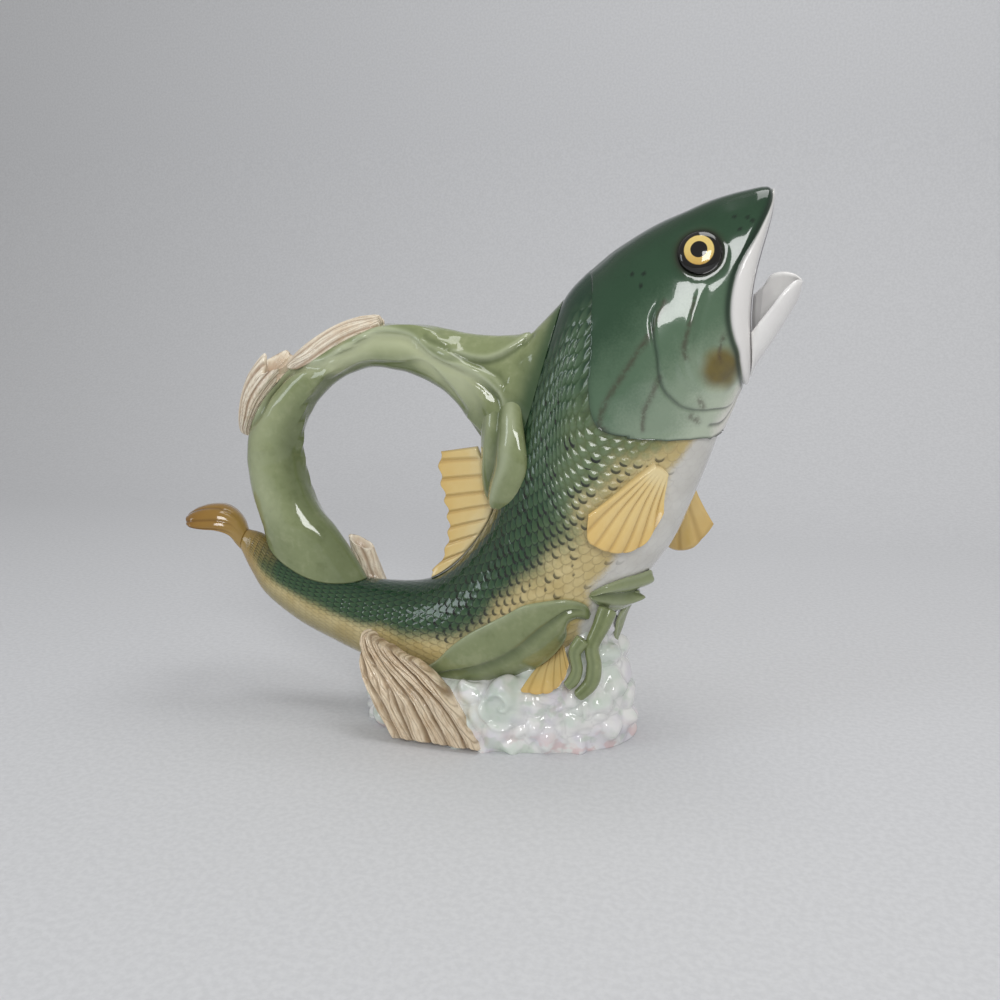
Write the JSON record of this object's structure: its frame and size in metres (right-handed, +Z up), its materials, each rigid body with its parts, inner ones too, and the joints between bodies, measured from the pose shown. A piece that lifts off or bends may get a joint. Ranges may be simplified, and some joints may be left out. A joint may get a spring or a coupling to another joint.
{
  "type": "fish-shaped ceramic pitcher",
  "caption": "Glazed ceramic pitcher shaped as a leaping bass that pours through its open mouth, with a kelp ring as the handle, on a base of sea foam and driftwood.",
  "frame": {"origin": "on the plane that the foot stands on, under the middle of the fish between tail and jaw", "axes": "+X from the tail to the open mouth, +Y to the left side of the fish, +Z up"},
  "size_m": [0.3374, 0.0928, 0.2867],
  "materials": {
    "green_glaze": "gloss",
    "white_glaze": "gloss",
    "foam_glaze": "gloss",
    "eye_glaze": "gloss",
    "yellow_glaze": "gloss",
    "ochre_glaze": "gloss",
    "kelp_glaze": "gloss",
    "driftwood_glaze": "gloss"
  },
  "bodies": {
    "root": {"fish_body": "green_glaze", "lower_jaw": "white_glaze", "right_eye": "eye_glaze", "left_eye": "eye_glaze", "right_pectoral_fin": "yellow_glaze", "left_pectoral_fin": "yellow_glaze", "dorsal_fin": "yellow_glaze", "right_pelvic_fin": "yellow_glaze", "left_pelvic_fin": "yellow_glaze", "tail_fin": "ochre_glaze", "handle_ring": "kelp_glaze", "handle_leaf": "kelp_glaze", "ring_driftwood": "driftwood_glaze", "ring_twig": "driftwood_glaze", "ring_knot": "driftwood_glaze", "base_foam": "foam_glaze", "base_driftwood": "driftwood_glaze", "front_leaf": "kelp_glaze", "collar_leaf": "kelp_glaze", "hanging_leaf": "kelp_glaze", "long_stem": "kelp_glaze", "short_stem": "kelp_glaze"}
  },
  "joints": []
}
